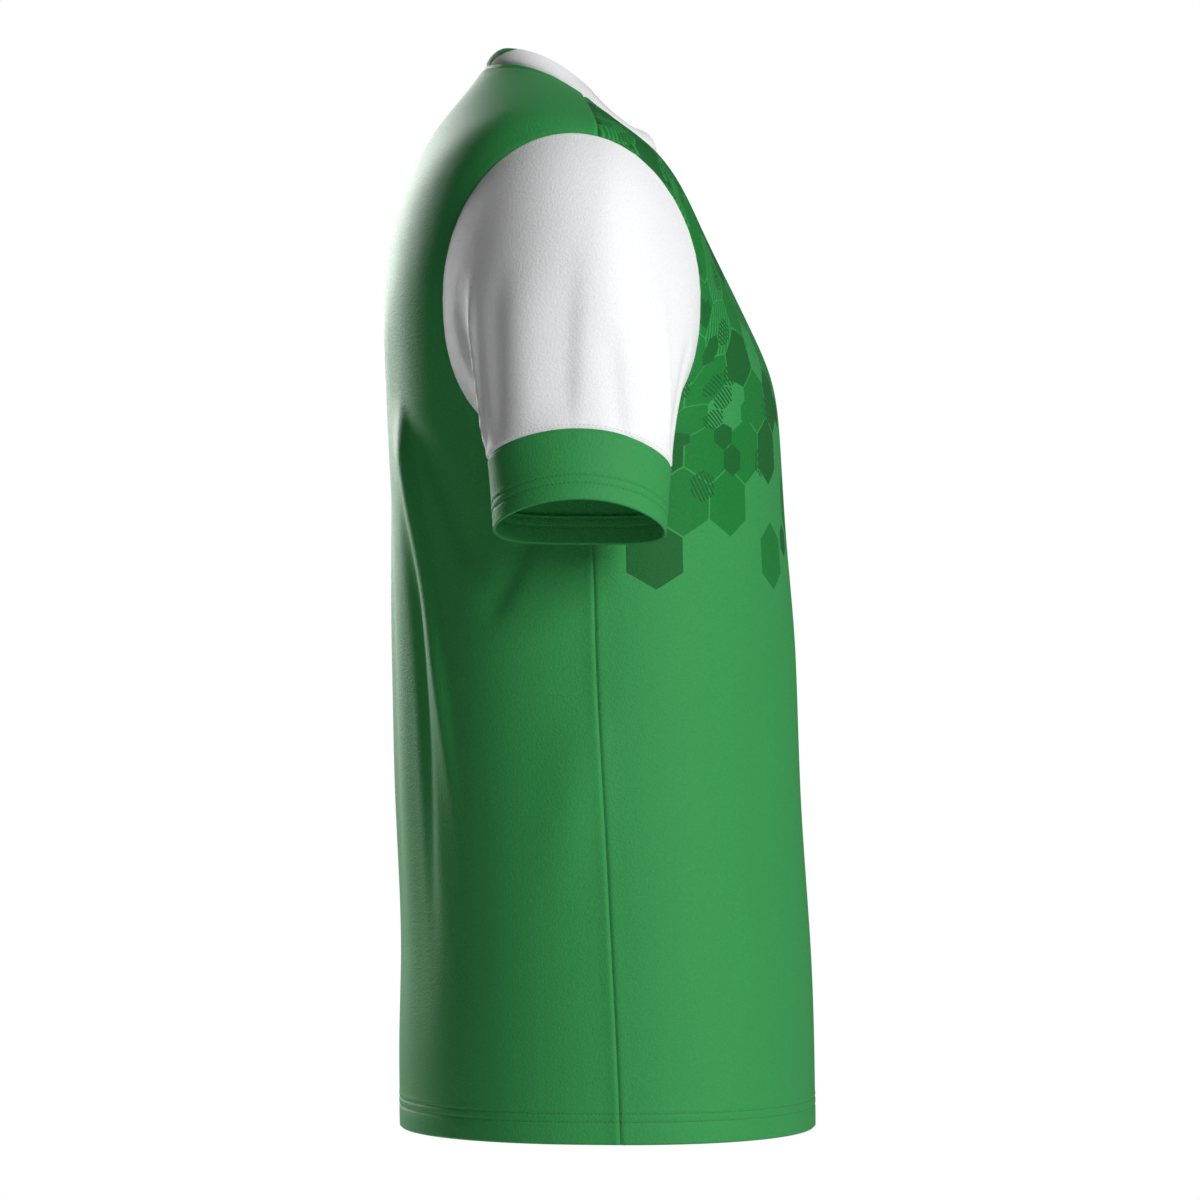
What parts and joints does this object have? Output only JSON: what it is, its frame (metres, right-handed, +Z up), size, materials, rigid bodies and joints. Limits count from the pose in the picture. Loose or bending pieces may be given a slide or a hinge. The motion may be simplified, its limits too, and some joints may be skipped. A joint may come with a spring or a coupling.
{
  "type": "football jersey",
  "caption": "Short-sleeved crew-neck football jersey, worn and filled out as a hollow garment, with set-in sleeves, cuff bands and a rib collar with a contrast insert at the back.",
  "frame": {"origin": "midway between the two points where the shoulder seams meet the collar, where the wearer's shoulders and neck hold the jersey up", "axes": "+Z up, along the jersey's length; the front faces -Y; the wearer's right sleeve is at -X"},
  "size_m": [0.6024, 0.2965, 0.74],
  "materials": {
    "body_green": "smooth polyester knit with a soft sheen, tonal print on the chest",
    "sleeve_white": "smooth white polyester knit",
    "cuff_green": "smooth polyester knit",
    "rib_white": "1x1 rib knit",
    "rib_green": "1x1 rib knit"
  },
  "bodies": {
    "root": {"front_panel": "body_green", "back_panel": "body_green", "sleeve_right": "sleeve_white", "sleeve_left": "sleeve_white", "cuff_right": "cuff_green", "cuff_left": "cuff_green", "collar_band": "rib_white", "collar_insert": "rib_green"}
  },
  "joints": []
}
